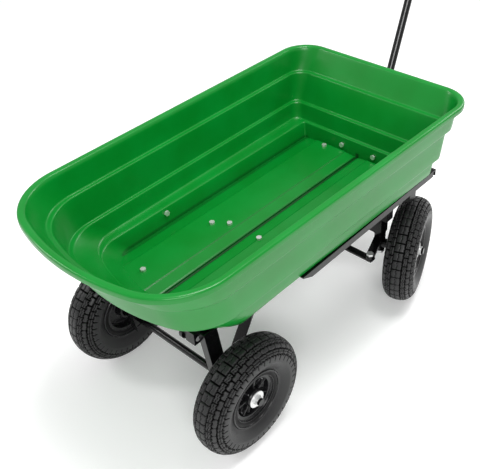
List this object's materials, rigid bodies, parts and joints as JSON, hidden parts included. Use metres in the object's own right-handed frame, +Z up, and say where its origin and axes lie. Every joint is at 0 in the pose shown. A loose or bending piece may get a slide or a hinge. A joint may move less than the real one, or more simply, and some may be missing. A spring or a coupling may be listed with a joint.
{
  "type": "garden cart",
  "caption": "Garden dump cart with a tilting plastic tub, steel chassis, linked steering front wheels, pull handle and pneumatic tyres.",
  "frame": {"origin": "on the ground under the middle of the rear axle", "axes": "+X forward to the handle, +Y to the cart's left, +Z up"},
  "size_m": [1.5305, 0.5826, 0.6065],
  "materials": {
    "black_paint": "gloss",
    "green_plastic": "gloss",
    "zinc": "satin",
    "black_plastic": "gloss",
    "grip_plastic": "matte",
    "tyre_rubber": "matte",
    "tube_rubber": "matte"
  },
  "bodies": {
    "chassis": {"chassis_tube_left": "black_paint", "chassis_tube_right": "black_paint", "cross_member_rear": "black_paint", "cross_member_front": "black_paint", "hinge_pin": "zinc", "rear_leg_left": "black_paint", "rear_leg_right": "black_paint", "rear_brace_left": "black_paint", "rear_brace_right": "black_paint", "bed_rail_left": "black_paint", "bed_rail_right": "black_paint", "side_brackets_left": "black_paint", "side_brackets_right": "black_paint", "bed_front_plate": "black_paint", "front_leg_left": "black_paint", "front_leg_right": "black_paint", "front_beam": "black_paint", "kingpins": "zinc", "steering_pivot": "zinc", "rear_axle": "black_paint", "rear_axle_hardware": "zinc", "latch_bracket": "black_paint"},
    "tub": {"tub": "green_plastic", "tub_rail_left": "black_paint", "tub_rail_right": "black_paint", "tub_bolts": "zinc", "tub_nuts": "zinc", "hinge_ears": "black_paint", "latch_keeper": "black_paint"},
    "latch": {"latch_lever": "black_paint"},
    "steering": {"steering_plate": "black_paint", "handle_pivot_bolt": "zinc", "tie_pin_centre": "zinc"},
    "knuckle_left": {"knuckle_left": "black_paint", "tie_pin_left": "zinc", "front_hardware_left": "zinc"},
    "knuckle_right": {"knuckle_right": "black_paint", "tie_pin_right": "zinc", "front_hardware_right": "zinc"},
    "tie_bar": {"tie_bar": "black_paint"},
    "handle": {"handle_tube": "black_paint", "handle_grip": "grip_plastic"},
    "wheel_rear_left": {"tyre_rear_left": "tyre_rubber", "inner_tube_rear_left": "tube_rubber", "rim_rear_left": "black_plastic", "bearings_rear_left": "grip_plastic"},
    "wheel_rear_right": {"tyre_rear_right": "tyre_rubber", "inner_tube_rear_right": "tube_rubber", "rim_rear_right": "black_plastic", "bearings_rear_right": "grip_plastic"},
    "wheel_front_left": {"tyre_front_left": "tyre_rubber", "inner_tube_front_left": "tube_rubber", "rim_front_left": "black_plastic", "bearings_front_left": "grip_plastic"},
    "wheel_front_right": {"tyre_front_right": "tyre_rubber", "inner_tube_front_right": "tube_rubber", "rim_front_right": "black_plastic", "bearings_front_right": "grip_plastic"}
  },
  "joints": [
    {"name": "tub_tilt", "type": "hinge", "parent": "chassis", "child": "tub", "pos_m": [-0.04, 0, 0.265], "axis": [0, -1, 0], "range_deg": [0, 50]},
    {"name": "latch_turn", "type": "hinge", "parent": "chassis", "child": "latch", "pos_m": [0.612, 0, 0.258], "axis": [0, 1, 0], "range_deg": [0, 55]},
    {"name": "steer_yaw", "type": "hinge", "parent": "chassis", "child": "steering", "pos_m": [0.555, 0, 0.15], "axis": [0, 0, 1], "range_deg": [-54.5, 15.5]},
    {"name": "kingpin_left", "type": "hinge", "parent": "chassis", "child": "knuckle_left", "pos_m": [0.555, 0.129, 0.14], "axis": [0, 0, 1], "range_deg": [-54.5, 15.5]},
    {"name": "kingpin_right", "type": "hinge", "parent": "chassis", "child": "knuckle_right", "pos_m": [0.555, -0.129, 0.14], "axis": [0, 0, 1], "range_deg": [-54.5, 15.5]},
    {"name": "tie_bar_pivot", "type": "hinge", "parent": "steering", "child": "tie_bar", "pos_m": [0.47016, -0.03004, 0.147], "axis": [0, 0, 1], "range_deg": [-15.5, 54.5]},
    {"name": "handle_pitch", "type": "hinge", "parent": "steering", "child": "handle", "pos_m": [0.74353, 0.06676, 0.11], "axis": [-0.3338, 0.9426, 0], "range_deg": [-40, 44]},
    {"name": "wheel_spin_rear_left", "type": "hinge", "parent": "chassis", "child": "wheel_rear_left", "pos_m": [0, 0.197, 0.13], "axis": [0, 1, 0], "continuous": true},
    {"name": "wheel_spin_rear_right", "type": "hinge", "parent": "chassis", "child": "wheel_rear_right", "pos_m": [0, -0.197, 0.13], "axis": [0, 1, 0], "continuous": true},
    {"name": "wheel_spin_front_left", "type": "hinge", "parent": "knuckle_left", "child": "wheel_front_left", "pos_m": [0.53097, 0.19687, 0.13], "axis": [-0.3338, 0.9426, 0], "continuous": true},
    {"name": "wheel_spin_front_right", "type": "hinge", "parent": "knuckle_right", "child": "wheel_front_right", "pos_m": [0.57903, -0.19687, 0.13], "axis": [-0.3338, 0.9426, 0], "continuous": true}
  ],
  "couplings": [
    {"joint": "kingpin_left", "follows": "steer_yaw", "ratio": 1},
    {"joint": "kingpin_right", "follows": "steer_yaw", "ratio": 1},
    {"joint": "tie_bar_pivot", "follows": "steer_yaw", "ratio": -1}
  ]
}
